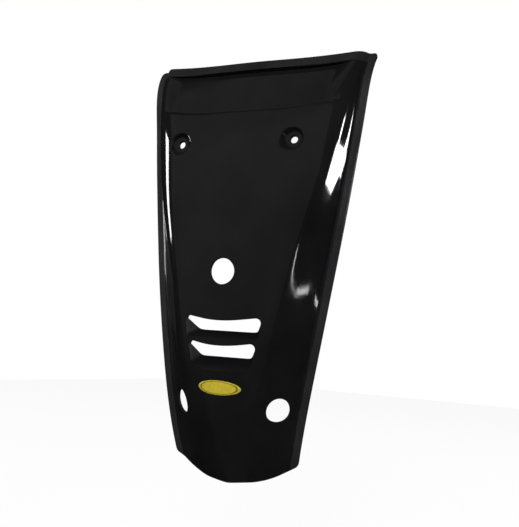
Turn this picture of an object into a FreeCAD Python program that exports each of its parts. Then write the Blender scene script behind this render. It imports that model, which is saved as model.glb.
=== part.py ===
import FreeCAD, Part
import math
import os
import Sketcher

# A moulded front panel for a small motorcycle: a crowned face with rounded creases, sloping cheeks and a
# flat side flange, hollow behind, with a recess under the top rim, two dished screw seats, a central hole,
# two louvred vents and two side holes. A thin oval badge lies on the face.
# Frame: X across, Y towards the back, Z up. The origin lies midway between the two screw seats.

# Level sections, from the nose up to above the top edge:
# height, face depth on the centre line, flange depth, half width of the face, rise of the face at its crease,
# radius of the crease
LEVELS = {
    "nose": (-320.0, 48.0, 68.0, 18.0, 6.0, 14.0),
    "chin": (-250.0, 12.0, 45.5, 29.5, 10.0, 14.0),
    "vent": (-190.0, -2.5, 39.5, 41.5, 13.0, 14.0),
    "belly": (-120.0, -8.0, 37.0, 55.0, 14.5, 18.0),
    "chest": (-60.0, -10.5, 37.0, 69.0, 11.8, 32.0),
    "seat": (0.0, -8.5, 37.0, 81.5, 6.2, 44.0),
    "step": (38.0, 2.0, 37.0, 91.0, 6.5, 32.0),
    "brow": (80.0, 23.0, 40.6, 100.0, 7.8, 15.0),
    "crest": (104.0, 39.0, 56.0, 104.0, 7.8, 13.0),
}
LEVEL_FIELDS = ("height", "face", "flange", "crease", "rise", "round")

SIZES = {
    "wall": 3.0,
    "toe_radius": 4.0,
    "flange_width": 7.6,
    "trim_margin": 6.0,
    "tool_reach": 100.0,
    # outline seen from the front
    "top_corner_half": 116.2,
    "top_corner_height": 99.6,
    "top_corner_radius": 4.0,
    "top_flat_half": 60.0,
    "top_flat_height": 91.5,
    "top_flat_radius": 500.0,
    "side_bow": 8.6,
    "side_radius": 3400.0,
    "low_corner_half": 62.1,
    "low_corner_height": -290.0,
    "low_corner_radius": 6.0,
    "hem_half": 34.0,
    "hem_height": -306.5,
    "hem_radius": 60.0,
    "vertex_height": -310.5,
    "vertex_radius": 50.0,
    # recess under the top rim
    "recess_depth": 5.0,
    "recess_top_half": 93.0,
    "recess_top_height": 84.1,
    "recess_top_flat_half": 60.0,
    "recess_top_flat_height": 79.5,
    "recess_top_radius": 400.0,
    "recess_low_half": 86.5,
    "recess_low_height": 37.9,
    "recess_low_flat_half": 50.0,
    "recess_low_flat_height": 30.0,
    "recess_low_radius": 200.0,
    "recess_corner_radius": 5.0,
    # dished screw seats
    "screw_spacing": 113.0,
    "screw_hole_diameter": 7.0,
    "dish_floor_diameter": 15.0,
    "dish_mouth_diameter": 24.0,
    "dish_depth": 6.5,
    # holes
    "belly_hole_diameter": 23.4,
    "belly_hole_height": -121.0,
    "side_hole_diameter": 22.6,
    "side_hole_half": 48.5,
    "side_hole_depth": 31.4,
    "side_hole_height": -240.5,
    "side_hole_turn": 40.5,
    "side_hole_dip": 15.3,
    # vents: the slot lies between top and sill, the louvre blade between sill and foot
    "vent_depth": 20.0,
    "vent_taper": 9.0,
    "vent_smile": 3.0,
    "vent_end_radius": 4.0,
    "vent_bow_radius": 120.0,
    "upper_vent_top": -163.2,
    "upper_vent_sill": -172.7,
    "upper_vent_foot": -182.0,
    "upper_vent_half": 37.5,
    "upper_vent_foot_half": 34.5,
    "lower_vent_top": -185.7,
    "lower_vent_sill": -196.2,
    "lower_vent_foot": -211.5,
    "lower_vent_half": 33.5,
    "lower_vent_foot_half": 28.0,
    # badge
    "badge_length": 41.6,
    "badge_width": 12.8,
    "badge_thickness": 0.8,
    "badge_height": -223.6,
}

doc = FreeCAD.newDocument("front_panel")
sheet = doc.addObject("Spreadsheet::Sheet", "Sheet")


class Dim:
    """A size that keeps its value together with the sheet formula that it comes from."""

    def __init__(self, value, text):
        self.value = value
        self.text = text

    def __add__(self, other):
        other = as_dim(other)
        return Dim(self.value + other.value, f"({self.text} + {other.text})")

    def __sub__(self, other):
        other = as_dim(other)
        return Dim(self.value - other.value, f"({self.text} - {other.text})")

    def __mul__(self, other):
        other = as_dim(other)
        return Dim(self.value * other.value, f"({self.text} * {other.text})")

    def __truediv__(self, other):
        other = as_dim(other)
        return Dim(self.value / other.value, f"({self.text} / {other.text})")

    def __neg__(self):
        return Dim(-self.value, f"(0 - {self.text})")


def as_dim(number):
    return number if isinstance(number, Dim) else Dim(float(number), repr(float(number)))


def root(dim):
    return Dim(math.sqrt(dim.value), f"sqrt({dim.text})")


def size(alias):
    return Dim(values[alias], f"Sheet.{alias}")


def bind(obj, prop, dim):
    """Set a property to a size and tie it to the sheet."""
    obj.setExpression(prop, dim.text)


def fill_sheet():
    rows = dict(SIZES)
    for level, numbers in LEVELS.items():
        for field, number in zip(LEVEL_FIELDS, numbers):
            rows[f"{level}_{field}"] = number
    for row, (alias, number) in enumerate(rows.items(), start=1):
        sheet.set(f"A{row}", alias)
        sheet.set(f"B{row}", str(number))
        sheet.setAlias(f"B{row}", alias)
    doc.recompute()
    return rows


# Sketch helpers

def origin_plane(body, role):
    return next(feature for feature in body.Origin.OriginFeatures if feature.Role == role)


def new_sketch(body, name, role, offset=None):
    """A sketch on one of the body's own origin planes, moved along the plane's normal by an offset."""
    sketch = body.newObject("Sketcher::SketchObject", name)
    sketch.AttachmentSupport = [(origin_plane(body, role), "")]
    sketch.MapMode = "FlatFace"
    if offset is not None:
        sketch.AttachmentOffset = FreeCAD.Placement(FreeCAD.Vector(0, 0, offset.value), FreeCAD.Rotation())
        bind(sketch, "AttachmentOffset.Base.z", offset)
    return sketch


def pin(sketch, geometry, end, across, up):
    """Tie a point's two distances from the sketch origin to the sheet."""
    for kind, dim in (("DistanceX", across), ("DistanceY", up)):
        index = sketch.addConstraint(Sketcher.Constraint(kind, -1, 1, geometry, end, dim.value))
        bind(sketch, f"Constraints[{index}]", dim)


def corner_turn(before, here, after):
    """Directions into and out of a corner, and the angle turned there."""
    into = (here - before).normalize()
    out = (after - here).normalize()
    turn = math.atan2(into.x * out.y - into.y * out.x, into.x * out.x + into.y * out.y)
    return into, out, turn


def corner_arc(here, into, out, turn, radius):
    """The arc that rounds a corner, with its tangent points in the order of the outline."""
    setback = radius * math.tan(abs(turn) / 2)
    first = here - into * setback
    last = here + out * setback
    side = math.copysign(1.0, turn)
    centre = first + FreeCAD.Vector(-into.y, into.x, 0) * radius * side
    ends = (first, last) if turn > 0 else (last, first)
    start = math.atan2(ends[0].y - centre.y, ends[0].x - centre.x)
    stop = math.atan2(ends[1].y - centre.y, ends[1].x - centre.x)
    if stop < start:
        stop += 2 * math.pi
    circle = Part.Circle(centre, FreeCAD.Vector(0, 0, 1), radius)
    return Part.ArcOfCircle(circle, start, stop), first, last


def draw_outline(sketch, corners):
    """A closed outline through corners (across, up, radius); a corner without a radius stays sharp."""
    count = len(corners)
    points = [FreeCAD.Vector(across.value, up.value, 0) for across, up, _ in corners]
    starts = list(points)
    stops = [points[(i + 1) % count] for i in range(count)]
    arcs = {}
    for i, (_, _, radius) in enumerate(corners):
        if radius is None:
            continue
        into, out, turn = corner_turn(points[i - 1], points[i], points[(i + 1) % count])
        arc, first, last = corner_arc(points[i], into, out, turn, radius.value)
        arcs[i] = (arc, turn > 0)
        stops[i - 1] = first
        starts[i] = last
    lines = [sketch.addGeometry(Part.LineSegment(starts[i], stops[i])) for i in range(count)]
    for i, (across, up, radius) in enumerate(corners):
        before = lines[i - 1]
        after = lines[i]
        if radius is None:
            sketch.addConstraint(Sketcher.Constraint("Coincident", before, 2, after, 1))
            pin(sketch, after, 1, across, up)
            continue
        arc, forward = arcs[i]
        bend = sketch.addGeometry(arc)
        mark = sketch.addGeometry(Part.Point(points[i]), True)
        first_end, last_end = (1, 2) if forward else (2, 1)
        sketch.addConstraint([
            Sketcher.Constraint("Tangent", before, 2, bend, first_end),
            Sketcher.Constraint("Tangent", after, 1, bend, last_end),
            Sketcher.Constraint("PointOnObject", mark, 1, before),
            Sketcher.Constraint("PointOnObject", mark, 1, after),
        ])
        pin(sketch, mark, 1, across, up)
        index = sketch.addConstraint(Sketcher.Constraint("Radius", bend, radius.value))
        bind(sketch, f"Constraints[{index}]", radius)


def mirrored(corners):
    """Corners of the right half, from top to bottom, closed by their mirror image."""
    left = [(-across, up, radius) for across, up, radius in corners if across.value != 0]
    return corners[::-1] + left


def pad_both_ways(body, sketch, length):
    """Extrude a sketch by half a length to each side of its plane."""
    pad = body.newObject("PartDesign::Pad", f"{body.Name}_pad")
    pad.Profile = sketch
    pad.SideType = "Symmetric"
    bind(pad, "Length", length)


def prism(name, role, corners, length, offset=None):
    """A straight prism on both sides of an origin plane, or of a plane at an offset from it."""
    body = doc.addObject("PartDesign::Body", name)
    sketch = new_sketch(body, f"{name}_outline", role, offset)
    draw_outline(sketch, corners)
    pad_both_ways(body, sketch, length)
    return body


# Level sections of the panel

def side_half(height):
    """Half width of the panel's outline at a height: a shallow bow from the low corner to the top corner."""
    low = size("low_corner_half")
    span = size("top_corner_height") - size("low_corner_height")
    share = (height - size("low_corner_height")) / span
    chord = low + (size("top_corner_half") - low) * share
    return chord + size("side_bow") * share * (as_dim(1) - share) * 2


def section_points(level):
    """Ridge, crease and toe of the front surface at one level."""
    height, face, flange, crease, rise, _ = (size(f"{level}_{field}") for field in LEVEL_FIELDS)
    ridge = face - rise / 4
    toe = side_half(height) - size("flange_width")
    crown = crease * crease / (rise * 2)
    return height, ridge, crease, ridge + rise, toe, flange, crown


def outer_section(level):
    """Front surface with its flange, closed by the flange's back."""
    height, ridge, crease, crease_depth, toe, flange, crown = section_points(level)
    edge = side_half(height) + size("trim_margin")
    back = flange + size("wall")
    right = [
        (edge, back, None),
        (edge, flange, None),
        (toe, flange, size("toe_radius")),
        (crease, crease_depth, size(f"{level}_round")),
    ]
    left = [(-across, up, radius) for across, up, radius in right]
    return height, left + [(as_dim(0), ridge, crown)] + right[::-1]


def hollow_section(level):
    """The space behind the wall: the front surface set back by the wall, running out past the flange."""
    height, ridge, crease, crease_depth, toe, flange, crown = section_points(level)
    wall = size("wall")
    run = toe - crease
    drop = flange - crease_depth
    inset = wall * (root(run * run + drop * drop) - run) / drop
    past = size("trim_margin")
    mouth = toe - inset + past * run / drop
    right = [
        (mouth, flange + wall + past, None),
        (crease - inset, crease_depth + wall, size(f"{level}_round") - wall),
    ]
    left = [(-across, up, radius) for across, up, radius in right]
    return height, left + [(as_dim(0), ridge + wall, crown)] + right[::-1]


def lofted_body(name, section):
    body = doc.addObject("PartDesign::Body", name)
    sketches = []
    for level in LEVELS:
        height, corners = section(level)
        sketch = new_sketch(body, f"{name}_{level}", "XY_Plane", height)
        draw_outline(sketch, corners)
        sketches.append(sketch)
    loft = body.newObject("PartDesign::AdditiveLoft", f"{name}_loft")
    loft.Profile = sketches[0]
    loft.Sections = sketches[1:]
    return body


def moved(name, body, depth):
    """The same form, set back along Y."""
    link = doc.addObject("App::Link", name)
    link.LinkedObject = body
    bind(link, "Placement.Base.y", depth)
    return link


# Booleans

def cut(name, base, tool):
    result = doc.addObject("Part::Cut", name)
    result.Base = base
    result.Tool = tool
    return result


def common(name, base, tool):
    result = doc.addObject("Part::Common", name)
    result.Base = base
    result.Tool = tool
    return result


def union(name, shapes):
    result = doc.addObject("Part::MultiFuse", name)
    result.Shapes = shapes
    return result


# Features of the panel

def panel_outline():
    """The trimmed edge of the panel, seen from the front."""
    middle = (size("top_corner_half") + size("low_corner_half")) / 2
    middle_height = (size("top_corner_height") + size("low_corner_height")) / 2
    return mirrored([
        (size("top_flat_half"), size("top_flat_height"), size("top_flat_radius")),
        (size("top_corner_half"), size("top_corner_height"), size("top_corner_radius")),
        (middle + size("side_bow"), middle_height, size("side_radius")),
        (size("low_corner_half"), size("low_corner_height"), size("low_corner_radius")),
        (size("hem_half"), size("hem_height"), size("hem_radius")),
        (as_dim(0), size("vertex_height"), size("vertex_radius")),
    ])


def recess_outline(grow):
    """The recess seen from the front, grown on every side."""
    corner = size("recess_corner_radius") + grow
    return mirrored([
        (size("recess_top_flat_half"), size("recess_top_flat_height") + grow, size("recess_top_radius")),
        (size("recess_top_half") + grow, size("recess_top_height") + grow, corner),
        (size("recess_low_half") + grow, size("recess_low_height") - grow, corner),
        (size("recess_low_flat_half"), size("recess_low_flat_height") - grow, size("recess_low_radius")),
    ])


def recess_tool(name, body, grow):
    """The space in front of a recess floor that follows the panel's own surface."""
    block = prism(f"{name}_block", "XZ_Plane", recess_outline(grow), size("tool_reach") * 2)
    floor = moved(f"{name}_floor", body, size("recess_depth"))
    return cut(name, block, floor)


def along_y(obj, across, depth, height):
    """Lay a round tool's axis along Y, pointing to the front, and place its base."""
    obj.Placement = FreeCAD.Placement(FreeCAD.Vector(), FreeCAD.Rotation(FreeCAD.Vector(1, 0, 0), 90))
    bind(obj, "Placement.Base.x", across)
    bind(obj, "Placement.Base.y", depth)
    bind(obj, "Placement.Base.z", height)


def dish(name, side, grow):
    """A conical dish that opens to the front from its floor."""
    cone = doc.addObject("Part::Cone", name)
    floor = size("dish_floor_diameter") / 2
    mouth = size("dish_mouth_diameter") / 2
    height = size("dish_depth") + size("trim_margin") + grow
    flare = (mouth - floor) / size("dish_depth")
    bind(cone, "Radius1", floor + grow)
    bind(cone, "Radius2", floor + grow + flare * height)
    bind(cone, "Height", height)
    along_y(cone, size("screw_spacing") * (side * 0.5), as_dim(0) + grow, as_dim(0))
    return cone


def round_hole(name, diameter, across, height):
    hole = doc.addObject("Part::Cylinder", name)
    bind(hole, "Radius", diameter / 2)
    bind(hole, "Height", size("tool_reach") * 2)
    along_y(hole, across, size("tool_reach"), height)
    return hole


def side_hole(name, side):
    """A hole square to the sloping flank: its axis dips to the front and is turned outwards about Z."""
    body = doc.addObject("PartDesign::Body", name)
    sketch = new_sketch(body, f"{name}_outline", "XZ_Plane")
    dip = size("side_hole_dip")
    tilt = FreeCAD.Rotation(FreeCAD.Vector(1, 0, 0), dip.value)
    sketch.AttachmentOffset = FreeCAD.Placement(FreeCAD.Vector(), tilt)
    bind(sketch, "AttachmentOffset.Rotation.Angle", dip)
    radius = size("side_hole_diameter") / 2
    ring = sketch.addGeometry(Part.Circle(FreeCAD.Vector(), FreeCAD.Vector(0, 0, 1), radius.value))
    sketch.addConstraint(Sketcher.Constraint("Coincident", ring, 3, -1, 1))
    index = sketch.addConstraint(Sketcher.Constraint("Radius", ring, radius.value))
    bind(sketch, f"Constraints[{index}]", radius)
    pad_both_ways(body, sketch, size("tool_reach"))
    turn = size("side_hole_turn")
    rotation = FreeCAD.Rotation(FreeCAD.Vector(0, 0, side), turn.value)
    body.Placement = FreeCAD.Placement(FreeCAD.Vector(), rotation)
    bind(body, "Placement.Rotation.Angle", turn)
    bind(body, "Placement.Base.x", size("side_hole_half") * side)
    bind(body, "Placement.Base.y", size("side_hole_depth"))
    bind(body, "Placement.Base.z", size("side_hole_height"))
    return body


def vent_outline(vent, grow):
    """A vent seen from the front, grown at its ends and foot: its top edge turns up at the ends."""
    top = size(f"{vent}_vent_top")
    end = size("vent_end_radius")
    return mirrored([
        (as_dim(0), top - size("vent_smile"), size("vent_bow_radius")),
        (size(f"{vent}_vent_half") + grow, top + size("vent_smile"), end),
        (size(f"{vent}_vent_foot_half") + grow, size(f"{vent}_vent_foot") - grow, end + grow),
    ])


def vent_end_depth():
    """Depth of the face at the ends of a vent."""
    return size("vent_face") + size("vent_rise") * 0.75


def vent_profile(vent, grow):
    """A vent seen from the side: open at the top, with a blade that slopes in and up from its foot."""
    front = -size("tool_reach")
    face = size("vent_face")
    inside = face + size("vent_depth")
    past = inside + size("trim_margin")
    sill = size(f"{vent}_vent_sill")
    foot = size(f"{vent}_vent_foot")
    front_foot = foot - (face - front) * (sill - foot) / size("vent_depth")
    top = size(f"{vent}_vent_top") + size("vent_smile")
    if grow is None:
        ceiling = top + size("trim_margin")
        return [(front, ceiling, None), (past, ceiling, None), (past, sill, None), (inside, sill, None),
                (front, front_foot, None)]
    return [(front, top, None), (vent_end_depth(), top, None), (inside, sill, None),
            (inside, sill - grow, None), (front, front_foot - grow, None)]


def vent_plan(vent, grow):
    """A vent seen from above: its end webs draw in towards the back."""
    half = size(f"{vent}_vent_half") + grow
    end = vent_end_depth()
    inside = size("vent_face") + size("vent_depth")
    draw = size("vent_taper") / (inside - end)
    front = end - size("tool_reach") / 2
    past = inside + size("trim_margin") * 2
    wide = half + draw * (end - front)
    narrow = half - draw * (past - end)
    return [(-wide, front, None), (wide, front, None), (narrow, past, None), (-narrow, past, None)]


def vent_tool(vent, name, grow):
    """The cut for a vent, or with a wall's growth the block that its blade and end webs are left from."""
    reach = size("tool_reach") * 2
    widening = as_dim(0) if grow is None else grow
    block = prism(f"{name}_block", "XZ_Plane", vent_outline(vent, widening), reach)
    wedge = prism(f"{name}_wedge", "YZ_Plane", vent_profile(vent, grow), reach)
    plan = prism(f"{name}_plan", "XY_Plane", vent_plan(vent, widening), reach, size(f"{vent}_vent_sill"))
    return common(name, common(f"{name}_section", block, wedge), plan)


def fairing_panel(outer):
    wall = size("wall")
    hollow = lofted_body("hollow_form", hollow_section)
    fronts = [recess_tool("recess", outer, as_dim(0))]
    backs = [recess_tool("recess_back", hollow, wall)]
    holes = [round_hole("belly_hole", size("belly_hole_diameter"), as_dim(0), size("belly_hole_height"))]
    for word, side in (("left", -1), ("right", 1)):
        fronts.append(dish(f"{word}_dish", side, as_dim(0)))
        backs.append(dish(f"{word}_dish_back", side, wall))
        screw_across = size("screw_spacing") * (side * 0.5)
        holes.append(round_hole(f"{word}_screw_hole", size("screw_hole_diameter"), screw_across, as_dim(0)))
        holes.append(side_hole(f"{word}_side_hole", side))
    for vent in ("upper", "lower"):
        fronts.append(vent_tool(vent, f"{vent}_vent_cut", None))
        backs.append(vent_tool(vent, f"{vent}_vent_back", wall))
    shaped = cut("shaped_front", outer, union("front_tools", fronts))
    space = cut("shaped_hollow", hollow, union("back_tools", backs))
    shell = cut("shell", shaped, space)
    edge = prism("trim_outline", "XZ_Plane", panel_outline(), size("tool_reach") * 2)
    trimmed = common("trimmed_shell", shell, edge)
    panel = cut("panel", trimmed, union("hole_tools", holes))
    panel.Label = "fairing_panel"
    return panel


def oval_badge(outer):
    """A thin oval that lies on the face and follows its curve."""
    body = doc.addObject("PartDesign::Body", "badge_block")
    sketch = new_sketch(body, "badge_outline", "XZ_Plane")
    centre = FreeCAD.Vector(0, values["badge_height"], 0)
    oval = sketch.addGeometry(Part.Ellipse(centre, values["badge_length"] / 2, values["badge_width"] / 2))
    sketch.exposeInternalGeometry(oval)
    pin(sketch, oval, 3, as_dim(0), size("badge_height"))
    for axis, alias in ((oval + 1, "badge_length"), (oval + 2, "badge_width")):
        index = sketch.addConstraint(Sketcher.Constraint("Distance", axis, values[alias]))
        bind(sketch, f"Constraints[{index}]", size(alias))
    sketch.addConstraint(Sketcher.Constraint("Horizontal", oval + 1))
    pad_both_ways(body, sketch, size("tool_reach") * 2)
    skin = moved("badge_skin", outer, -size("badge_thickness"))
    badge = cut("badge", common("badge_stock", body, skin), outer)
    badge.Label = "oval_badge"
    return badge


def check_document():
    for obj in doc.Objects:
        if {"Invalid", "Error"} & set(obj.State):
            raise RuntimeError(f"{obj.Name} failed: {obj.State}")


def write_part(part):
    shape = part.Shape
    if shape.isNull() or not shape.isValid() or len(shape.Solids) != 1:
        raise RuntimeError(f"{part.Label} is not one valid solid")
    os.makedirs("parts", exist_ok=True)
    shape.exportStep(f"parts/{part.Label}.step")
    box = shape.BoundBox
    print(part.Label, "volume", round(shape.Volume, 1), "box", [round(v, 2) for v in (
        box.XMin, box.XMax, box.YMin, box.YMax, box.ZMin, box.ZMax)])


values = fill_sheet()
outer_form = lofted_body("outer_form", outer_section)
parts = [fairing_panel(outer_form), oval_badge(outer_form)]
doc.recompute()
check_document()
for finished in parts:
    write_part(finished)
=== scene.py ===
import math

import bmesh
import bpy
import numpy as np
from mathutils import Matrix, Quaternion, Vector


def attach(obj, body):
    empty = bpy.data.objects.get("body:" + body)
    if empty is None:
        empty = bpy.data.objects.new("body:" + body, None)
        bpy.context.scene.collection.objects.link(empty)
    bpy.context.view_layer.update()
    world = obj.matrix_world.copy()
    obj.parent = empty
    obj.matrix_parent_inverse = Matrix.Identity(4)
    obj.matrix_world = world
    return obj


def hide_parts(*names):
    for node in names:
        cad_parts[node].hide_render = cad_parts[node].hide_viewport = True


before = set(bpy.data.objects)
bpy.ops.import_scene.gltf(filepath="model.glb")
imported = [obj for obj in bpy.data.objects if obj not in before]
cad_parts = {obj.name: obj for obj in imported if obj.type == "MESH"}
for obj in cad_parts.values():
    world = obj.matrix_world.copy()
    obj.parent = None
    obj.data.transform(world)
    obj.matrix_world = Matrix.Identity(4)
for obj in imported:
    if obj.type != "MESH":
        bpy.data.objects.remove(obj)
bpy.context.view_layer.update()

# A gloss black front panel of a small motorcycle with its plain yellow oval badge.
# Working values are in millimetres in the part's own frame; meshes are written in metres.

MM = 0.001

# Level sections of the face, from the nose up to above the top edge:
# height, face depth on the centre line, flange depth, half width of the face, rise of the face at its crease,
# radius of the crease
LEVELS = np.array([
    (-320.0, 48.0, 68.0, 18.0, 6.0, 14.0),
    (-250.0, 12.0, 45.5, 29.5, 10.0, 14.0),
    (-190.0, -2.5, 39.5, 41.5, 13.0, 14.0),
    (-120.0, -8.0, 37.0, 55.0, 14.5, 18.0),
    (-60.0, -10.5, 37.0, 69.0, 11.8, 32.0),
    (0.0, -8.5, 37.0, 81.5, 6.2, 44.0),
    (38.0, 2.0, 37.0, 91.0, 6.5, 32.0),
    (80.0, 23.0, 40.6, 100.0, 7.8, 15.0),
    (104.0, 39.0, 56.0, 104.0, 7.8, 13.0),
])
WALL = 3.0
TOE_RADIUS = 4.0
FLANGE_WIDTH = 7.6
CHEEK_HOLLOW = 0.7
EDGE_ROUND = 0.35

# The outline seen from the front, as (half width, height)
TOP_CORNER = (116.2, 99.6)
TOP_FLAT = (60.0, 91.5)
LOW_CORNER = (62.1, -290.0)
HEM = (34.0, -306.5)
VERTEX_HEIGHT = -310.5
SIDE_BOW = 8.6
TOP_CORNER_RADIUS = 4.0
LOW_CORNER_RADIUS = 6.0
TOP_BEND_RADIUS = 500.0
HEM_RADIUS = 60.0
NOSE_RADIUS = 50.0
# How far from a corner the points lie that give its two directions
TOP_ARM = 40.0
SIDE_ARM = 20.0
LOW_ARM = 10.0

# The recess's edges are level in the middle and bend up towards the sides
RECESS_DEPTH = 5.0
RECESS_TOP = {"flat_half": 60.0, "height": 79.5, "slope": 0.139, "radius": 400.0, "lip": 1.8}
RECESS_LOW = {"flat_half": 50.0, "height": 30.0, "slope": 0.216, "radius": 200.0, "lip": 4.4}
RECESS_TOP_END = (99.0, 84.9)
RECESS_LOW_END = (90.0, 38.6)
RECESS_END_RADIUS = 2.0
# Its sloped ends: half widths where they start and end at a height, and how they lean
RECESS_RAMP = (82.0, 99.5)
RECESS_RAMP_HEIGHT = 80.0
RECESS_RAMP_LEAN = 0.10
RAMP_BLEND = 0.06

SCREW_HALF = 56.5
SCREW_HOLE_RADIUS = 3.5
DISH_FLOOR_RADIUS = 7.5
DISH_MOUTH_RADIUS = 12.0
DISH_DEPTH = 6.5
DISH_FLOOR_BLEND = 0.9
DISH_MOUTH_BLEND = 1.0
BELLY_HOLE = (0.0, -121.0, 11.7)
SIDE_HOLE = (48.5, 31.4, -240.5)
SIDE_HOLE_RADIUS = 11.3
SIDE_HOLE_TURN = 40.5
SIDE_HOLE_DIP = 15.3

VENT_FACE = -2.5
VENT_DEPTH = 20.0
VENT_TAPER = 9.0
VENT_SMILE = 3.0
VENT_SMILE_RADIUS = 120.0
VENT_CORNER_RADIUS = 4.0
VENTS = {
    "upper": {"top": -163.2, "sill": -172.7, "foot": -182.0, "half": 37.5, "foot_half": 34.5},
    "lower": {"top": -185.7, "sill": -196.2, "foot": -211.5, "half": 33.5, "foot_half": 28.0},
}
# A vent's edge is rounded only along its top lip, this far down and this far from its ends
VENT_LIP_DROP = 3.2
VENT_LIP_END = 3.0
LOUVRE_WALL = 2.4
LOUVRE_ROUND = 0.4
LOUVRE_TOP_DROP = 2.0
LOUVRE_TIP_DEPTH = 2.0
LOUVRE_SINK = 0.5
LOUVRE_OVERLAP = 0.35
LOUVRE_STEPS = 22
LOUVRE_ROWS = 8
LOUVRE_FRONT_PASSES = 3
LOUVRE_BACK_PASSES = 10
FOOT_PASSES = 12

BADGE_HALF = (20.8, 6.4)
BADGE_HEIGHT = -223.6
BADGE_THICKNESS = 0.8
BADGE_SINK = 0.05
# The film's rounded edge: its height share at the rim and its width as a share of the radius
BADGE_RIM_SHARE = 0.45
BADGE_RIM_WIDTH = 0.06
BADGE_RIM_POINTS = 112
BADGE_INSETS = (0.02, 0.03, 0.05, 0.1, 0.16, 0.18, 0.18, 0.18)

# The panel's mesh: a grid, its columns drawn together on the flanks, halved near each feature
GRID_ACROSS = 132
GRID_UP = 232
FLANK_SHARE = 0.80
FACE_STRETCH = 1.07
REFINE_MARGIN = 4.0
LINE_UP_REACH = {"belly": 2.5, "screw": 2.5, "side": 4.5, "upper": 2.2, "lower": 2.2}
SETTLE_REACH = 3.0
OUTLINE_PASSES = 4
PULL_PASSES = 6
RIM_PASSES = 8
SETTLE_PASSES = 4
PANEL_SHARP_ANGLE = 42
LOUVRE_SHARP_ANGLE = 50
BADGE_SHARP_ANGLE = 50

# The panel's material slots, in the order that make_panel adds its materials
SLOT_FRONT, SLOT_BACK, SLOT_RIM, SLOT_SATIN, SLOT_OPENING = range(5)

# The satin rim starts above a line that is level in the middle and slopes up outside it
SATIN_RIM_HEIGHT = 80.0
SATIN_RIM_FLAT = 60.0
SATIN_RIM_RISE = 5.8
SATIN_RIM_RUN = 41.7
SATIN_INSET = 1.0


# The form of the face

def level_curve(column):
    """A smooth curve through one column of the level sections, as a function of height."""
    heights = LEVELS[:, 0]
    values = LEVELS[:, column]
    count = len(heights)
    gap = np.diff(heights)
    rate = np.diff(values) / gap
    matrix = np.zeros((count, count))
    right = np.zeros(count)
    for i in range(1, count - 1):
        matrix[i, i - 1:i + 2] = (gap[i - 1], 2 * (gap[i - 1] + gap[i]), gap[i])
        right[i] = 6 * (rate[i] - rate[i - 1])
    matrix[0, :3] = (gap[1], -(gap[0] + gap[1]), gap[0])
    matrix[-1, -3:] = (gap[-1], -(gap[-2] + gap[-1]), gap[-2])
    bend = np.linalg.solve(matrix, right)

    def curve(z):
        i = np.clip(np.searchsorted(heights, z) - 1, 0, count - 2)
        before = z - heights[i]
        after = heights[i + 1] - z
        width = gap[i]
        return (bend[i] * after ** 3 + bend[i + 1] * before ** 3) / (6 * width) + \
            (values[i] / width - bend[i] * width / 6) * after + \
            (values[i + 1] / width - bend[i + 1] * width / 6) * before

    return curve


FACE_CURVE, FLANGE_CURVE, CREASE_CURVE, RISE_CURVE, ROUND_CURVE = (
    level_curve(column) for column in range(1, 6))


def side_half(z):
    """Half width of the panel's outline at a height."""
    share = (z - LOW_CORNER[1]) / (TOP_CORNER[1] - LOW_CORNER[1])
    chord = LOW_CORNER[0] + (TOP_CORNER[0] - LOW_CORNER[0]) * share
    return chord + 2 * SIDE_BOW * share * (1 - share)


def face_depth(x, z):
    """Depth of the plain face: crown, rounded crease, faintly hollow cheek, rounded toe and flat flange."""
    x = np.abs(x)
    face, flange, crease, rise = FACE_CURVE(z), FLANGE_CURVE(z), CREASE_CURVE(z), RISE_CURVE(z)
    bend = ROUND_CURVE(z)
    toe = side_half(z) - FLANGE_WIDTH
    ridge = face - rise / 4
    shoulder = ridge + rise
    near = np.arctan2(rise, crease)
    steep = np.arctan2(flange - shoulder, toe - crease)
    depth = np.where(x < crease, ridge + x * np.tan(near), shoulder + (x - crease) * np.tan(steep))
    crown = crease ** 2 / (2 * rise)
    depth = np.where(x < crown * np.sin(near),
                     ridge + crown / np.cos(near) - np.sqrt(np.maximum(crown ** 2 - x ** 2, 0)), depth)
    back = bend * np.tan((steep - near) / 2)
    start = crease - back * np.cos(near)
    middle = start - bend * np.sin(near)
    level = shoulder - back * np.sin(near) + bend * np.cos(near)
    bent = level - np.sqrt(np.maximum(bend ** 2 - (x - middle) ** 2, 0))
    crease_end = crease + back * np.cos(steep)
    depth = np.where((x > start) & (x < crease_end), bent, depth)
    back = TOE_RADIUS * np.tan(steep / 2)
    toe_start = toe - back * np.cos(steep)
    share = np.clip((x - crease_end) / np.maximum(toe_start - crease_end, 1.0), 0, 1)
    depth = depth + CHEEK_HOLLOW * (1 - np.cos(2 * np.pi * share)) / 2
    bent = flange - TOE_RADIUS + np.sqrt(np.maximum(TOE_RADIUS ** 2 - (x - toe - back) ** 2, 0))
    depth = np.where(x > toe_start, bent, depth)
    return np.where(x > toe + back, flange, depth)


def face_normal(x, z):
    """Unit normals of the plain face, pointing to the front."""
    step = 0.4
    across = (face_depth(x + step, z) - face_depth(x - step, z)) / (2 * step)
    up = (face_depth(x, z + step) - face_depth(x, z - step)) / (2 * step)
    length = np.sqrt(across ** 2 + up ** 2 + 1)
    return across / length, -1 / length, up / length


# Outlines, distances and soft joins

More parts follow.
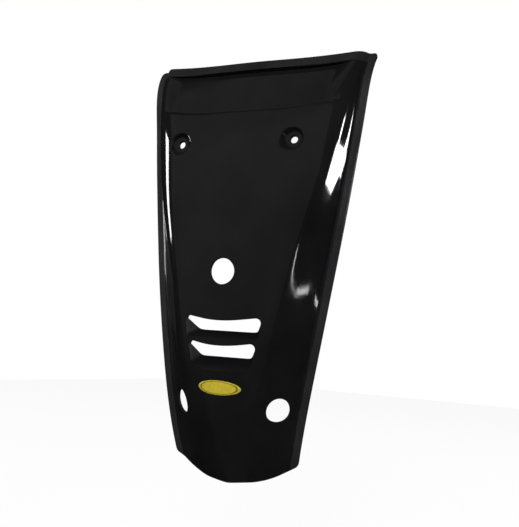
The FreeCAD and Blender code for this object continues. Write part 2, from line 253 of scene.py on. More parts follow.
def rounded_outline(corners, steps=10):
    """Points along a closed outline whose corners (x, z, radius) are rounded."""
    points = []
    count = len(corners)
    for i, (x, z, radius) in enumerate(corners):
        here = Vector((x, z))
        into = (here - Vector(corners[i - 1][:2])).normalized()
        out = (Vector(corners[(i + 1) % count][:2]) - here).normalized()
        turn = math.atan2(into.x * out.y - into.y * out.x, into.dot(out))
        side = math.copysign(1.0, turn)
        first = here - into * radius * math.tan(abs(turn) / 2)
        centre = first + Vector((-into.y, into.x)) * radius * side
        arm = first - centre
        for k in range(steps + 1):
            angle = turn * k / steps
            points.append((centre.x + arm.x * math.cos(angle) - arm.y * math.sin(angle),
                           centre.y + arm.x * math.sin(angle) + arm.y * math.cos(angle)))
    return np.array(points)


def mirrored(corners):
    """Corners of the right half, from top to bottom, closed by their mirror image."""
    left = [(-x, z, radius) for x, z, radius in corners if x != 0]
    return corners[::-1] + left


def outline_distance(x, z, outline):
    """Distance to a closed outline, negative inside it."""
    nearest = np.full(x.shape, 1e9)
    inside = np.zeros(x.shape, bool)
    for (ax, az), (bx, bz) in zip(outline, np.roll(outline, -1, axis=0)):
        run = max((bx - ax) ** 2 + (bz - az) ** 2, 1e-12)
        share = np.clip(((x - ax) * (bx - ax) + (z - az) * (bz - az)) / run, 0, 1)
        nearest = np.minimum(nearest, np.hypot(x - ax - share * (bx - ax), z - az - share * (bz - az)))
        if az != bz:
            crosses = ((az > z) != (bz > z)) & (x < ax + (z - az) / (bz - az) * (bx - ax))
            inside ^= crosses
    return np.where(inside, -nearest, nearest)


def soft_step(t):
    """A smooth step from 0 to 1."""
    t = np.clip(t, 0, 1)
    return t * t * t * (t * (6 * t - 15) + 10)


def soft_max(a, b, blend):
    """The larger of two depths, with the corner between them rounded."""
    share = np.clip(0.5 + 0.5 * (a - b) / blend, 0, 1)
    return b + (a - b) * share + blend * share * (1 - share)


def soft_clip(t):
    """A straight ramp from 0 to 1 with its two bends a little rounded."""
    low = soft_max(t, np.zeros(np.shape(t)), RAMP_BLEND)
    return -soft_max(-low, -np.ones(np.shape(t)), RAMP_BLEND)


def soft_bend(run, slope, radius):
    """Rise of a path that is level before a bend and slopes after it, rounded with a large radius."""
    reach = radius * math.tan(math.atan(slope) / 2)
    bent = (run + reach) ** 2 / (4 * reach) * slope
    return np.where(run < -reach, 0, np.where(run > reach, slope * run, bent))


# The recess and the dished screw seats

RECESS_OUTLINE = rounded_outline(mirrored([
    (RECESS_TOP["flat_half"], RECESS_TOP["height"], RECESS_TOP["radius"]),
    (*RECESS_TOP_END, RECESS_END_RADIUS),
    (*RECESS_LOW_END, RECESS_END_RADIUS),
    (RECESS_LOW["flat_half"], RECESS_LOW["height"], RECESS_LOW["radius"]),
]))


def recess_edge(right, line, grow):
    """Height of the recess's top or low edge."""
    return line["height"] + grow + soft_bend(right - line["flat_half"], line["slope"], line["radius"])


def recess_drop(x, z, grow):
    """How far the recess lies behind the plain face: crisp top edge, soft low edge, sloped ends."""
    right = np.abs(x)
    below_top = recess_edge(right, RECESS_TOP, grow) - z
    above_low = z - recess_edge(right, RECESS_LOW, -grow)
    edge = soft_step(0.5 + below_top / RECESS_TOP["lip"]) * soft_step(0.5 + above_low / RECESS_LOW["lip"])
    lean = RECESS_RAMP_LEAN * (z - RECESS_RAMP_HEIGHT)
    inner, outer = (half + grow for half in RECESS_RAMP)
    ramp = (outer + 2 * lean - right) / (outer - inner + lean)
    return RECESS_DEPTH * edge * soft_clip(ramp)


def dish_depth(x, z, grow):
    """Depth of the two dished screw seats, grown towards the back."""
    radius = np.hypot(np.abs(x) - SCREW_HALF, z)
    flare = DISH_DEPTH / (DISH_MOUTH_RADIUS - DISH_FLOOR_RADIUS)
    wall = grow - (radius - DISH_FLOOR_RADIUS - grow) * flare
    return -soft_max(np.full(x.shape, -grow), -wall, DISH_FLOOR_BLEND)


def front_depth(x, z):
    plain = face_depth(x, z) + recess_drop(x, z, 0.0)
    return soft_max(plain, dish_depth(x, z, 0.0), DISH_MOUTH_BLEND)


def back_place(x, z):
    """The panel's back: the plain face set back square to itself, with its own recess and dish cups."""
    nx, ny, nz = face_normal(x, z)
    depth = face_depth(x, z) - WALL * ny
    x = x - WALL * nx
    z = z - WALL * nz
    depth = depth + recess_drop(x, z, WALL)
    return x, soft_max(depth, dish_depth(x, z, WALL), DISH_MOUTH_BLEND), z


# Openings: each function is negative inside its opening, measured on the plain face

def belly_hole(x, z):
    return np.hypot(x - BELLY_HOLE[0], z - BELLY_HOLE[1]) - BELLY_HOLE[2]


def screw_holes(x, z):
    return np.hypot(np.abs(x) - SCREW_HALF, z) - SCREW_HOLE_RADIUS


def side_holes(x, z):
    """Distance from the tilted axis of the hole in the flank."""
    turn = math.radians(SIDE_HOLE_TURN)
    dip = math.radians(SIDE_HOLE_DIP)
    axis = (math.sin(turn) * math.cos(dip), -math.cos(turn) * math.cos(dip), -math.sin(dip))
    away = (np.abs(x) - SIDE_HOLE[0], face_depth(x, z) - SIDE_HOLE[1], z - SIDE_HOLE[2])
    along = sum(a * b for a, b in zip(away, axis))
    return np.sqrt(np.maximum(sum(a * a for a in away) - along ** 2, 0)) - SIDE_HOLE_RADIUS


def vent_outline(vent):
    return rounded_outline(mirrored([
        (0.0, vent["top"] - VENT_SMILE, VENT_SMILE_RADIUS),
        (vent["half"], vent["top"] + VENT_SMILE, VENT_CORNER_RADIUS),
        (vent["foot_half"], vent["foot"], VENT_CORNER_RADIUS),
    ]))


def blade_height(vent, depth):
    """Height of a louvre blade's upper side at a depth."""
    return vent["foot"] + (depth - VENT_FACE) * (vent["sill"] - vent["foot"]) / VENT_DEPTH


def vent_mouth(vent):
    """The part of a vent's outline that lies above its blade."""
    outline = vent_outline(vent)

    def mouth(x, z):
        return np.maximum(outline_distance(x, z, outline), blade_height(vent, face_depth(x, z)) - z)

    return mouth


OPENINGS = {
    "belly": belly_hole,
    "screw": screw_holes,
    "side": side_holes,
    "upper": vent_mouth(VENTS["upper"]),
    "lower": vent_mouth(VENTS["lower"]),
}


# Mesh helpers

def make_active(piece):
    bpy.ops.object.select_all(action="DESELECT")
    piece.select_set(True)
    bpy.context.view_layer.objects.active = piece


def start_edit(piece):
    """Make a piece the only selected and active one, and open it with nothing selected."""
    make_active(piece)
    bpy.ops.object.mode_set(mode="EDIT")
    bpy.ops.mesh.select_mode(type="FACE")
    bpy.ops.mesh.select_all(action="DESELECT")
    return bmesh.from_edit_mesh(piece.data)


def end_edit():
    bpy.ops.object.mode_set(mode="OBJECT")


def face_centres(mesh):
    centres = np.array([face.calc_center_median()[:] for face in mesh.faces])
    return centres[:, 0] / MM, centres[:, 2] / MM


def pick_faces(piece, mesh, wanted):
    mesh.faces.ensure_lookup_table()
    for face, want in zip(mesh.faces, wanted):
        face.select_set(bool(want))
    mesh.select_flush_mode()
    bmesh.update_edit_mesh(piece.data)


def read_points(piece):
    flat = np.empty(len(piece.data.vertices) * 3)
    piece.data.vertices.foreach_get("co", flat)
    return flat.reshape(-1, 3) / MM


def write_points(piece, points):
    piece.data.vertices.foreach_set("co", (points * MM).ravel())
    piece.data.update()


def apply_modifier(piece, kind, **settings):
    make_active(piece)
    modifier = piece.modifiers.new(kind.title(), kind)
    for name, value in settings.items():
        setattr(modifier, name, value)
    bpy.ops.object.modifier_apply(modifier=modifier.name)


def new_grid(name, across, up):
    """A flat grid that reaches from -1 to 1 both ways."""
    bpy.ops.object.select_all(action="DESELECT")
    bpy.ops.mesh.primitive_grid_add(x_subdivisions=across, y_subdivisions=up, size=2)
    grid = bpy.context.object
    grid.name = name
    grid.data.name = name
    return grid


def join(pieces):
    bpy.ops.object.select_all(action="DESELECT")
    for piece in pieces:
        piece.select_set(True)
    bpy.context.view_layer.objects.active = pieces[0]
    bpy.ops.object.join()
    return pieces[0]


def smooth_shade(piece, degrees):
    make_active(piece)
    bpy.ops.object.shade_smooth_by_angle(angle=math.radians(degrees))


# The panel's outline

def top_edge(x):
    """Height of the panel's top edge: level in the middle, then a soft bend up to the corners."""
    slope = (TOP_CORNER[1] - TOP_FLAT[1]) / (TOP_CORNER[0] - TOP_FLAT[0])
    return TOP_FLAT[1] + soft_bend(np.abs(x) - TOP_FLAT[0], slope, TOP_BEND_RADIUS)


def low_edge(x):
    """Height of the panel's low edge: a rounded V with a bend on each side."""
    x = np.abs(x)
    inner = (HEM[1] - VERTEX_HEIGHT) / HEM[0]
    outer = (LOW_CORNER[1] - HEM[1]) / (LOW_CORNER[0] - HEM[0])
    nose = soft_bend(x, inner, NOSE_RADIUS) + soft_bend(-x, inner, NOSE_RADIUS)
    return VERTEX_HEIGHT + nose + soft_bend(x - HEM[0], outer - inner, HEM_RADIUS)


def draw_columns(u):
    """Columns drawn together towards the flanges."""
    flank = (1 - np.abs(u)) * (1 - FLANK_SHARE * FACE_STRETCH) / (1 - FLANK_SHARE)
    return np.sign(u) * np.where(np.abs(u) < FLANK_SHARE, np.abs(u) * FACE_STRETCH, 1 - flank)


def round_corner(x, z, corner, before, after, radius):
    """Draw the points of a sharp corner in to a rounded one."""
    into = np.array(before) - corner
    out = np.array(after) - corner
    into = into / np.hypot(*into)
    out = out / np.hypot(*out)
    half = math.acos(np.clip(into @ out, -1, 1)) / 2
    middle = into + out
    centre = corner + middle / np.hypot(*middle) * radius / math.sin(half)
    px = x - centre[0]
    pz = z - centre[1]
    across = (out - into) / np.hypot(*(out - into))
    outward = (corner - centre) / np.hypot(*(corner - centre))
    forward = px * outward[0] + pz * outward[1]
    sideways = np.abs(px * across[0] + pz * across[1])
    reach = np.hypot(px, pz)
    angle = np.arctan2(sideways, forward)
    opening = math.pi / 2 - half
    edge = radius / np.cos(np.clip(opening - angle, -1.5, 1.5))
    near = (angle < opening) & (reach > 1e-6)
    scale = np.where(near, radius / edge, 1.0)
    return centre[0] + px * scale, centre[1] + pz * scale


def flat_place(u, v):
    """Place of a grid point on the panel's outline, seen from the front."""
    u = draw_columns(u)
    low = low_edge(u * LOW_CORNER[0])
    top = top_edge(u * TOP_CORNER[0])
    for _ in range(OUTLINE_PASSES):
        low = low_edge(u * side_half(low))
        top = top_edge(u * side_half(top))
    z = low + (top - low) * v
    x = u * side_half(z)
    side = np.sign(x)
    along_top = TOP_CORNER[0] - TOP_ARM
    down_side = TOP_CORNER[1] - SIDE_ARM
    up_side = LOW_CORNER[1] + SIDE_ARM
    along_low = LOW_CORNER[0] - LOW_ARM
    right, z = round_corner(np.abs(x), z, np.array(TOP_CORNER), (along_top, top_edge(along_top)),
                            (side_half(down_side), down_side), TOP_CORNER_RADIUS)
    right, z = round_corner(right, z, np.array(LOW_CORNER), (side_half(up_side), up_side),
                            (along_low, low_edge(along_low)), LOW_CORNER_RADIUS)
    return side * right, z


# The panel

def refine(piece, near):
    """Halve the faces near a feature."""
    mesh = start_edit(piece)
    x, z = face_centres(mesh)
    pick_faces(piece, mesh, near(x, z))
    bpy.ops.mesh.subdivide(number_cuts=1, quadcorner="INNERVERT")
    end_edit()


def near_features(x, z):
    """Which places lie near the recess's outline, a dish or an opening's edge."""
    close = np.abs(outline_distance(x, z, RECESS_OUTLINE)) < REFINE_MARGIN
    close |= np.hypot(np.abs(x) - SCREW_HALF, z) < DISH_MOUTH_RADIUS + REFINE_MARGIN
    for opening in OPENINGS.values():
        close |= np.abs(opening(x, z)) < REFINE_MARGIN
    return close


def cut_openings(piece):
    """Take the faces out of each opening."""
    mesh = start_edit(piece)
    x, z = face_centres(mesh)
    inside = np.zeros(len(x), bool)
    for opening in OPENINGS.values():
        inside |= opening(x, z) < 0
    pick_faces(piece, mesh, inside)
    bpy.ops.mesh.delete(type="FACE")
    end_edit()


def edge_table(piece):
    flat = np.empty(len(piece.data.edges) * 2, int)
    piece.data.edges.foreach_get("vertices", flat)
    return flat.reshape(-1, 2)


def open_edges(piece):
    """The open edges of the mesh, as pairs of points."""
    mesh = bmesh.new()
    mesh.from_mesh(piece.data)
    pairs = np.array([[vertex.index for vertex in edge.verts] for edge in mesh.edges if edge.is_boundary])
    mesh.free()
    return pairs


def pull_to_line(x, z, opening):
    """Move points on to an opening's line by its own slope."""
    step = 0.05
    least_slope = 0.05
    for _ in range(PULL_PASSES):
        value = opening(x, z)
        across = (opening(x + step, z) - opening(x - step, z)) / (2 * step)
        up = (opening(x, z + step) - opening(x, z - step)) / (2 * step)
        size = np.maximum(across ** 2 + up ** 2, least_slope)
        x = x - value * across / size
        z = z - value * up / size
    return x, z


def settle(x, z, edges, free, rounds):
    """Even out free points between their neighbours."""
    for _ in range(rounds):
        total = np.zeros((len(x), 3))
        for a, b in ((0, 1), (1, 0)):
            others = np.stack([x[edges[:, b]], z[edges[:, b]], np.ones(len(edges))], 1)
            np.add.at(total, edges[:, a], others)
        count = np.maximum(total[:, 2], 1)
        x = np.where(free, 0.5 * x + 0.5 * total[:, 0] / count, x)
        z = np.where(free, 0.5 * z + 0.5 * total[:, 1] / count, z)
    return x, z


def line_up_openings(piece):
    """Bring the cut edges on to the openings' true lines; returns which opening each point belongs to."""
    points = read_points(piece)
    x, z = points[:, 0], points[:, 2]
    rim = open_edges(piece)
    edge = np.zeros(len(x), bool)
    edge[rim] = True
    owner = np.full(len(x), "", dtype=object)
    loose = np.zeros(len(x), bool)
    for name, opening in OPENINGS.items():
        distance = opening(x, z)
        own = edge & (np.abs(distance) < LINE_UP_REACH[name])
        x[own], z[own] = pull_to_line(x[own], z[own], opening)
        for _ in range(RIM_PASSES):
            x, z = settle(x, z, rim, own, 1)
            x[own], z[own] = pull_to_line(x[own], z[own], opening)
        owner[own] = name
        loose |= np.abs(distance) < SETTLE_REACH
    x, z = settle(x, z, edge_table(piece), loose & ~edge, SETTLE_PASSES)
    points[:, 0], points[:, 2] = x, z
    write_points(piece, points)
    return owner


def satin_zone(x, z):
    """The flat side flanges and the rim above the recess, which are a little duller than the face."""
    flange = np.abs(x) > side_half(z) - FLANGE_WIDTH + SATIN_INSET
    foot = SATIN_RIM_HEIGHT + np.maximum(np.abs(x) - SATIN_RIM_FLAT, 0) * SATIN_RIM_RISE / SATIN_RIM_RUN
    rim = (z > foot) & (outline_distance(x, z, RECESS_OUTLINE) > SATIN_INSET)
    return flange | rim


def set_shell_slots(piece, owner, flat_count):
    """Give each face of the shell its material slot; points from flat_count on are the back's."""
    points = read_points(piece)
    centres = np.array([points[list(polygon.vertices)].mean(axis=0) for polygon in piece.data.polygons])
    satin = satin_zone(centres[:, 0], centres[:, 2])
    for polygon, dull in zip(piece.data.polygons, satin):
        behind = [index >= flat_count for index in polygon.vertices]
        if all(behind):
            slot = SLOT_BACK
        elif any(behind):
            # The walls of the holes and vents get the darker matt material, whose tone is painted shade.
            slot = SLOT_OPENING if owner[polygon.vertices[0] % flat_count] else SLOT_RIM
        else:
            slot = SLOT_SATIN if dull else SLOT_FRONT
        polygon.material_index = slot


def on_vent_lip(name, edge):
    """Whether an edge of a vent's mouth lies on its top lip, away from the ends."""
    x, z = [sum(vertex.co[axis] for vertex in edge.verts) / 2 / MM for axis in (0, 2)]
    vent = VENTS[name]
    return z >= vent["top"] - VENT_LIP_DROP and abs(x) <= vent["half"] - VENT_LIP_END


def mark_edges(piece, owner, flat_count):
    """Mark the rim edges that get a small round: the outline, the holes and the vents' top lips."""
    mesh = bmesh.new()
    mesh.from_mesh(piece.data)
    weight = mesh.edges.layers.float.new("bevel_weight_edge")
    for edge in mesh.edges:
        slots = {face.material_index for face in edge.link_faces}
        if not slots & {SLOT_RIM, SLOT_OPENING} or len(slots) < 2:
            continue
        vents = {owner[vertex.index % flat_count] for vertex in edge.verts} & set(VENTS)
        if vents and not on_vent_lip(vents.pop(), edge):
            continue
        edge[weight] = 1.0
    mesh.to_mesh(piece.data)
    mesh.free()


def make_panel():
    panel = new_grid("fairing_panel_shell", GRID_ACROSS, GRID_UP)
    points = read_points(panel) * MM
    x, z = flat_place(points[:, 0], (points[:, 1] + 1) / 2)
    write_points(panel, np.stack([x, np.zeros(len(x)), z], 1))
    refine(panel, near_features)
    cut_openings(panel)
    owner = line_up_openings(panel)
    points = read_points(panel)
    points[:, 1] = front_depth(points[:, 0], points[:, 2])
    write_points(panel, points)
    flat_count = len(points)
    apply_modifier(panel, "SOLIDIFY", thickness=WALL * MM, offset=-1.0, use_rim=True,
                   material_offset=SLOT_BACK, material_offset_rim=SLOT_RIM)
    for material in (PANEL_GLOSS, PANEL_BACK, PANEL_EDGE, PANEL_FLANGE, PANEL_VENT_SHADE):
        panel.data.materials.append(material)
    set_shell_slots(panel, owner, flat_count)
    solid = read_points(panel)
    solid[flat_count:] = np.stack(back_place(points[:, 0], points[:, 2]), 1)
    write_points(panel, solid)
    mark_edges(panel, owner, flat_count)
    apply_modifier(panel, "BEVEL", limit_method="WEIGHT", width=EDGE_ROUND * MM, segments=2,
                   offset_type="OFFSET", use_clamp_overlap=False)
    return panel


# The louvres

def foot_line(vent, x):
    """Height where the blade meets the plain face."""
    z = np.full(x.shape, vent["foot"])
    for _ in range(FOOT_PASSES):
        z = blade_height(vent, face_depth(x, z))
    return z


def vent_side(vent, z):
    """Half width of a vent's mouth at a height."""
    top = vent["top"] + VENT_SMILE
    share = (top - z) / (top - vent["foot"])
    return vent["half"] + (vent["foot_half"] - vent["half"]) * share


def louvre_lines(vent, steps):
    """The louvre's front line on the face and its inner line, from one top corner round to the other."""
    top = vent["top"] + VENT_SMILE - LOUVRE_TOP_DROP
    corner = vent["foot_half"]
    for _ in range(FOOT_PASSES):
        corner = vent_side(vent, foot_line(vent, np.array([corner]))[0])
    low = foot_line(vent, np.array([corner]))[0]
    inside = VENT_FACE + VENT_DEPTH
    inner = vent["half"] - VENT_TAPER
    down = np.linspace(0, 1, steps)
    heights = top + (low - top) * down
    sides = vent_side(vent, heights)
    left = np.stack([-sides, face_depth(sides, heights), heights], 1)
    across = np.linspace(-corner, corner, 2 * steps)[1:-1]
    foot = foot_line(vent, across)
    middle = np.stack([across, face_depth(across, foot), foot], 1)
    right = left[::-1] * (-1, 1, 1)
    front = np.concatenate([left, middle, right])
    tip = left[0] + (0, LOUVRE_TIP_DEPTH, 0)
    end = np.array([-inner, inside, vent["sill"]])
    slant = tip + (end - tip) * down[:, None]
    level = np.stack([across * inner / corner, np.full(len(across), inside),
                      np.full(len(across), vent["sill"])], 1)
    back = np.concatenate([slant, level, slant[::-1] * (-1, 1, 1)])
    return front, back


def soften(line, rounds):
    """Round a line's corners a little, keeping its ends."""
    for _ in range(rounds):
        line = np.concatenate([line[:1], 0.25 * line[:-2] + 0.5 * line[1:-1] + 0.25 * line[2:], line[-1:]])
    return line


def make_louvre(name, vent):
    """A blade and its two side walls, which reach a little under the panel's cut edge."""
    front, back = louvre_lines(vent, LOUVRE_STEPS)
    front = soften(front, LOUVRE_FRONT_PASSES)
    back = soften(back, LOUVRE_BACK_PASSES)
    front[:, 1] += LOUVRE_SINK
    middle = np.array([0, 0, (vent["top"] + vent["foot"]) / 2])
    away = front - middle
    away[:, 1] = 0
    front += LOUVRE_OVERLAP * away / np.linalg.norm(away, axis=1)[:, None]
    louvre = new_grid(name, len(front) - 1, LOUVRE_ROWS)
    points = read_points(louvre) * MM
    along = np.round((points[:, 0] + 1) / 2 * (len(front) - 1)).astype(int)
    share = ((points[:, 1] + 1) / 2)[:, None]
    write_points(louvre, front[along] * (1 - share) + back[along] * share)
    apply_modifier(louvre, "SOLIDIFY", thickness=LOUVRE_WALL * MM, offset=-1.0, use_rim=True,
                   use_even_offset=True)
    apply_modifier(louvre, "BEVEL", limit_method="ANGLE", angle_limit=math.radians(LOUVRE_SHARP_ANGLE),
                   width=LOUVRE_ROUND * MM, segments=2)
    # The louvre gets the darker matt material, whose tone is painted shade in the vent.
    louvre.data.materials.append(PANEL_VENT_SHADE)
    return louvre


# The badge

def make_badge():
    """A thin oval film with a rounded edge that follows the face."""
    bpy.ops.object.select_all(action="DESELECT")
    bpy.ops.mesh.primitive_circle_add(vertices=BADGE_RIM_POINTS, radius=1, fill_type="NGON")
    badge = bpy.context.object
    badge.name = "oval_badge_film"
    badge.data.name = badge.name
    bpy.ops.object.mode_set(mode="EDIT")
    bpy.ops.mesh.select_mode(type="FACE")
    for width in BADGE_INSETS:
        bpy.ops.mesh.inset(thickness=width)
    bpy.ops.object.mode_set(mode="OBJECT")
    points = read_points(badge) * MM
    radius = np.hypot(points[:, 0], points[:, 1])
    x = points[:, 0] * BADGE_HALF[0]
    z = points[:, 1] * BADGE_HALF[1] + BADGE_HEIGHT
    swell = np.sqrt(np.clip((1 - radius) / BADGE_RIM_WIDTH, 0, 1))
    height = BADGE_THICKNESS * (BADGE_RIM_SHARE + (1 - BADGE_RIM_SHARE) * swell)
    base = face_depth(x, z)
    write_points(badge, np.stack([x, base - height, z], 1))
    count = len(points)
    apply_modifier(badge, "SOLIDIFY", thickness=BADGE_THICKNESS * MM, offset=-1.0, use_rim=True)
    solid = read_points(badge)
    solid[count:] = np.stack([x, base + BADGE_SINK, z], 1)
    write_points(badge, solid)
    badge.data.materials.append(BADGE_FILM)
    return badge


# Materials

NOISE_MIDDLE = (0.3, 0.7)
CLOUD_SCALE = 18.0
HAZE_SCALE = 55.0
RIPPLE_HEIGHT = 0.0004
PLASTIC_IOR = 1.5
BADGE_YELLOW = (0.50, 0.40, 0.035, 1)
BADGE_EDGE_YELLOW = (0.47, 0.38, 0.035, 1)
BADGE_KEYLINE = (0.10, 0.08, 0.012, 1)
BADGE_WEAR = (0.86, 0.84, 0.78, 1)
BADGE_WEAR_SCALE = 160.0
BADGE_GLOSS_SCALE = 300.0
BADGE_ROUGHNESS = (0.22, 0.36)
# The keyline's start and end as shares of the oval's radius, each with its soft edge
KEYLINE_START = (0.80, 0.83)
KEYLINE_END = (0.87, 0.90)


def new_material(name):
    material = bpy.data.materials.new(name)
    material.use_nodes = True
    return material, material.node_tree.nodes, material.node_tree.links


def noise(nodes, links, place, scale, detail):
    texture = nodes.new("ShaderNodeTexNoise")
    texture.inputs["Scale"].default_value = scale
    texture.inputs["Detail"].default_value = detail
    links.new(place.outputs["Object"], texture.inputs["Vector"])
    return texture


def spread(nodes, links, source, low, high):
    """Bring a noise's middle range to a wanted range."""
    span = nodes.new("ShaderNodeMapRange")
    span.inputs["From Min"].default_value = NOISE_MIDDLE[0]
    span.inputs["From Max"].default_value = NOISE_MIDDLE[1]
    span.inputs["To Min"].default_value = low
    span.inputs["To Max"].default_value = high
    links.new(source.outputs["Fac"], span.inputs["Value"])
    return span


def plastic(name, dark, light, smooth, dull, peel, peel_scale):
    """Moulded black plastic: faint clouds of tone and gloss, and a fine ripple."""
    material, nodes, links = new_material(name)
    shader = nodes["Principled BSDF"]
    place = nodes.new("ShaderNodeTexCoord")
    clouds = noise(nodes, links, place, CLOUD_SCALE, 3.0)
    tone = nodes.new("ShaderNodeMix")
    tone.data_type = "RGBA"
    tone.inputs["A"].default_value = (*dark, 1)
    tone.inputs["B"].default_value = (*light, 1)
    links.new(spread(nodes, links, clouds, 0.0, 1.0).outputs["Result"], tone.inputs["Factor"])
    links.new(tone.outputs["Result"], shader.inputs["Base Color"])
    haze = noise(nodes, links, place, HAZE_SCALE, 5.0)
    links.new(spread(nodes, links, haze, smooth, dull).outputs["Result"], shader.inputs["Roughness"])
    ripple = noise(nodes, links, place, peel_scale, 2.0)
    bump = nodes.new("ShaderNodeBump")
    bump.inputs["Strength"].default_value = peel
    bump.inputs["Distance"].default_value = RIPPLE_HEIGHT
    links.new(ripple.outputs["Fac"], bump.inputs["Height"])
    links.new(bump.outputs["Normal"], shader.inputs["Normal"])
    shader.inputs["IOR"].default_value = PLASTIC_IOR
    return material


def badge_film():
    """Yellow film with a thin darker keyline inside its edge."""
    material, nodes, links = new_material("badge_yellow_film")
    shader = nodes["Principled BSDF"]
    place = nodes.new("ShaderNodeTexCoord")
    centre = nodes.new("ShaderNodeMapping")
    centre.vector_type = "POINT"
    centre.inputs["Location"].default_value = (0, 0, -BADGE_HEIGHT / BADGE_HALF[1])
    centre.inputs["Scale"].default_value = (1 / (BADGE_HALF[0] * MM), 0, 1 / (BADGE_HALF[1] * MM))
    links.new(place.outputs["Object"], centre.inputs["Vector"])
    radius = nodes.new("ShaderNodeVectorMath")
    radius.operation = "LENGTH"
    links.new(centre.outputs["Vector"], radius.inputs[0])
    line = nodes.new("ShaderNodeValToRGB")
    stops = line.color_ramp.elements
    stops[0].position = KEYLINE_START[0]
    stops[0].color = BADGE_YELLOW
    stops[1].position = KEYLINE_START[1]
    stops[1].color = BADGE_KEYLINE
    stops.new(KEYLINE_END[0]).color = BADGE_KEYLINE
    stops.new(KEYLINE_END[1]).color = BADGE_EDGE_YELLOW
    links.new(radius.outputs["Value"], line.inputs["Fac"])
    patches = noise(nodes, links, place, BADGE_WEAR_SCALE, 4.0)
    worn = nodes.new("ShaderNodeMix")
    worn.data_type = "RGBA"
    worn.blend_type = "MULTIPLY"
    worn.inputs["B"].default_value = BADGE_WEAR
    links.new(spread(nodes, links, patches, 0.0, 1.0).outputs["Result"], worn.inputs["Factor"])
    links.new(line.outputs["Color"], worn.inputs["A"])
    links.new(worn.outputs["Result"], shader.inputs["Base Color"])
    gloss = noise(nodes, links, place, BADGE_GLOSS_SCALE, 3.0)
    haze = spread(nodes, links, gloss, *BADGE_ROUGHNESS)
    links.new(haze.outputs["Result"], shader.inputs["Roughness"])
    return material


PANEL_GLOSS = plastic("panel_gloss_black", dark=(0.0045, 0.0045, 0.005), light=(0.0075, 0.0075, 0.008),
                      smooth=0.035, dull=0.075, peel=0.04, peel_scale=260.0)
PANEL_BACK = plastic("panel_moulded_back", dark=(0.010, 0.010, 0.0105), light=(0.016, 0.016, 0.0165),
                     smooth=0.34, dull=0.48, peel=0.25, peel_scale=900.0)
PANEL_FLANGE = plastic("panel_satin_flange", dark=(0.008, 0.008, 0.009), light=(0.018, 0.018, 0.019),
                       smooth=0.26, dull=0.42, peel=0.30, peel_scale=700.0)
PANEL_EDGE = plastic("panel_trimmed_edge", dark=(0.008, 0.008, 0.0085), light=(0.013, 0.013, 0.0135),
                     smooth=0.18, dull=0.28, peel=0.10, peel_scale=500.0)
# Matt, with a tone darker than the face's own black: the darker tone is painted shade inside the vents, on
# the louvres and on the holes' walls.
PANEL_VENT_SHADE = plastic("panel_vent_matt_painted_shade", dark=(0.0030, 0.0030, 0.0035), light=(0.0050, 0.0050, 0.0055),
                     smooth=0.60, dull=0.75, peel=0.15, peel_scale=700.0)
BADGE_FILM = badge_film()


# The object

panel = make_panel()
louvres = [make_louvre(f"{word}_louvre", vent) for word, vent in VENTS.items()]
panel = join([panel] + louvres)
smooth_shade(panel, PANEL_SHARP_ANGLE)
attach(panel, "root")
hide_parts("fairing_panel")

badge = make_badge()
smooth_shade(badge, BADGE_SHARP_ANGLE)
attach(badge, "root")
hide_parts("oval_badge")


# Stage, light and camera; the stage and the lamps are in metres

FLOOR_SIZE = 4
FLOOR_PLACE = (0, 1.9, -0.40)
PAPER = (0.80, 0.80, 0.80, 1)
PAPER_GLOW = 0.94
PAPER_ROUGHNESS = 0.9
LAMP_AIM = (0.0, 0.02, -0.08)

# The room that the gloss mirrors, by the parts of a direction.
# Each group of four is a fade: start, end, level before and level after.
ROOM_BELOW = (-0.45, 0.25, 0.03, 0.17)
ROOM_OVERHEAD = (0.5, 0.95, 1.0, 0.58)
ROOM_RIGHT = (-0.20, -0.10, 1.0, 0.12)
ROOM_RIGHT_WAIST = 0.1
ROOM_RIGHT_SPREAD = 0.8
ROOM_LEFT = (-0.06, 0.14, 1.0, 0.06)
ROOM_LEFT_TURN = -0.45
ROOM_LEFT_LEAN = -0.14
ROOM_LEFT_TO_RIGHT = (0.0, 0.2, 0.0, 1.0)

# The photograph's camera, from a fit to the panel's outline and holes.
# The photo's width and the focal length are in pixels, the sensor's width and the place in millimetres.
PHOTO_WIDTH = 519.0
FOCAL_LENGTH = 680.0
SENSOR_WIDTH = 36.0
CAMERA_PLACE = (256.97, -550.3, -190.92)
CAMERA_AHEAD = (-0.37468, 0.91786, 0.13094)
CAMERA_RIGHT = (0.92691, 0.36762, 0.07543)


def math_node(nodes, links, operation, *values):
    """A math node's output; each value is a number or another node's output."""
    node = nodes.new("ShaderNodeMath")
    node.operation = operation
    for socket, value in zip(node.inputs, values):
        if isinstance(value, float):
            socket.default_value = value
        else:
            links.new(value, socket)
    return node.outputs["Value"]


def stage_material(name, colour, glow):
    """A pale surface that the camera sees nearly white, with a faint shadow left on it."""
    material, nodes, links = new_material(name)
    shader = nodes["Principled BSDF"]
    shader.inputs["Base Color"].default_value = colour
    shader.inputs["Roughness"].default_value = PAPER_ROUGHNESS
    rays = nodes.new("ShaderNodeLightPath")
    light = nodes.new("ShaderNodeEmission")
    share = math_node(nodes, links, "MULTIPLY", rays.outputs["Is Camera Ray"], glow)
    both = nodes.new("ShaderNodeMixShader")
    links.new(share, both.inputs["Fac"])
    links.new(shader.outputs["BSDF"], both.inputs[1])
    links.new(light.outputs["Emission"], both.inputs[2])
    links.new(both.outputs["Shader"], nodes["Material Output"].inputs["Surface"])
    return material


def make_floor():
    """A pale floor below and behind the panel, which its gloss doesn't mirror."""
    bpy.ops.object.select_all(action="DESELECT")
    bpy.ops.mesh.primitive_plane_add(size=FLOOR_SIZE, location=FLOOR_PLACE)
    floor = bpy.context.object
    floor.name = "studio_floor"
    floor.visible_glossy = False
    floor.data.materials.append(stage_material("studio_paper", PAPER, PAPER_GLOW))


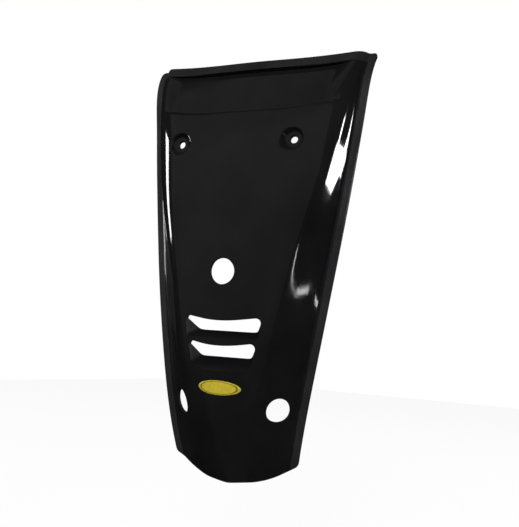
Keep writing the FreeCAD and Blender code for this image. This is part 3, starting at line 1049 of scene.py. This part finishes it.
def fade(nodes, links, source, start, end, before, after):
    """A smooth change of level between two values of a source."""
    span = nodes.new("ShaderNodeMapRange")
    span.interpolation_type = "SMOOTHSTEP"
    span.inputs["From Min"].default_value = start
    span.inputs["From Max"].default_value = end
    span.inputs["To Min"].default_value = before
    span.inputs["To Max"].default_value = after
    links.new(source, span.inputs["Value"])
    return span.outputs["Result"]


def room_light(nodes, links, across, back, up):
    """A dim room in front of the panel, darker below, overhead, behind it and to its far sides."""
    below = fade(nodes, links, up, *ROOM_BELOW)
    overhead = fade(nodes, links, up, *ROOM_OVERHEAD)
    front = math_node(nodes, links, "MULTIPLY", below, overhead)
    waist = math_node(nodes, links, "SUBTRACT", up, ROOM_RIGHT_WAIST)
    slant = math_node(nodes, links, "ABSOLUTE", waist)
    edge = math_node(nodes, links, "MULTIPLY_ADD", slant, ROOM_RIGHT_SPREAD, back)
    right = fade(nodes, links, edge, *ROOM_RIGHT)
    turn = math_node(nodes, links, "MULTIPLY_ADD", across, ROOM_LEFT_TURN, back)
    lean = math_node(nodes, links, "MULTIPLY_ADD", up, ROOM_LEFT_LEAN, turn)
    left = fade(nodes, links, lean, *ROOM_LEFT)
    sides = nodes.new("ShaderNodeMix")
    links.new(fade(nodes, links, across, *ROOM_LEFT_TO_RIGHT), sides.inputs["Factor"])
    links.new(left, sides.inputs["A"])
    links.new(right, sides.inputs["B"])
    return math_node(nodes, links, "MULTIPLY", front, sides.outputs["Result"])


def make_world():
    """White for the camera, and the dim room for what the gloss mirrors."""
    world = bpy.data.worlds.new("studio_surroundings")
    bpy.context.scene.world = world
    world.use_nodes = True
    nodes = world.node_tree.nodes
    links = world.node_tree.links
    place = nodes.new("ShaderNodeTexCoord")
    split = nodes.new("ShaderNodeSeparateXYZ")
    links.new(place.outputs["Generated"], split.inputs["Vector"])
    room = room_light(nodes, links, split.outputs["X"], split.outputs["Y"], split.outputs["Z"])
    rays = nodes.new("ShaderNodeLightPath")
    level = math_node(nodes, links, "MAXIMUM", room, rays.outputs["Is Camera Ray"])
    links.new(level, nodes["Background"].inputs["Strength"])
    nodes["Background"].inputs["Color"].default_value = (1, 1, 1, 1)


def softbox(name, towards, away, width, height, power, mirrored_in_gloss=True, roll=0):
    """A soft lamp in a direction (degrees to the right of the front, degrees up), aimed at the panel."""
    turn, rise = (math.radians(angle) for angle in towards)
    aim = Vector((math.sin(turn) * math.cos(rise), -math.cos(turn) * math.cos(rise), math.sin(rise)))
    lamp = bpy.data.lights.new(name, "AREA")
    lamp.shape = "RECTANGLE"
    lamp.size = width
    lamp.size_y = height
    lamp.energy = power
    box = bpy.data.objects.new(name, lamp)
    bpy.context.scene.collection.objects.link(box)
    box.location = Vector(LAMP_AIM) + aim * away
    lean = Quaternion((0, 0, 1), math.radians(roll))
    box.rotation_euler = ((-aim).to_track_quat("-Z", "Y") @ lean).to_euler()
    box.visible_glossy = mirrored_in_gloss


def make_camera():
    """The photograph's viewpoint."""
    data = bpy.data.cameras.new("photo_camera")
    camera = bpy.data.objects.new("photo_camera", data)
    bpy.context.scene.collection.objects.link(camera)
    data.sensor_fit = "HORIZONTAL"
    data.sensor_width = SENSOR_WIDTH
    data.lens = FOCAL_LENGTH / PHOTO_WIDTH * SENSOR_WIDTH
    ahead = Vector(CAMERA_AHEAD).normalized()
    right = Vector(CAMERA_RIGHT).normalized()
    up = right.cross(ahead).normalized()
    turn = Matrix((right, up, -ahead)).transposed()
    camera.matrix_world = Matrix.Translation(Vector(CAMERA_PLACE) * MM) @ turn.to_4x4()
    bpy.context.scene.camera = camera


make_floor()
make_world()
softbox("front_fill", towards=(8, 22), away=1.8, width=1.0, height=1.0, power=42, mirrored_in_gloss=False)
softbox("right_strip", towards=(115, 6.3), away=2.5, width=0.61, height=0.34, power=18)
softbox("right_tip", towards=(113, 12.2), away=2.5, width=0.17, height=0.20, power=3.2)
softbox("right_patch", towards=(83.0, -11.4), away=1.2, width=0.110, height=0.021, power=0.09, roll=-19)
softbox("left_strip", towards=(-88.5, 11), away=2.2, width=0.42, height=0.85, power=15)
softbox("back_fill", towards=(160, 48), away=1.9, width=0.9, height=0.9, power=22, mirrored_in_gloss=False)
make_camera()
bpy.context.scene.view_settings.view_transform = "Standard"
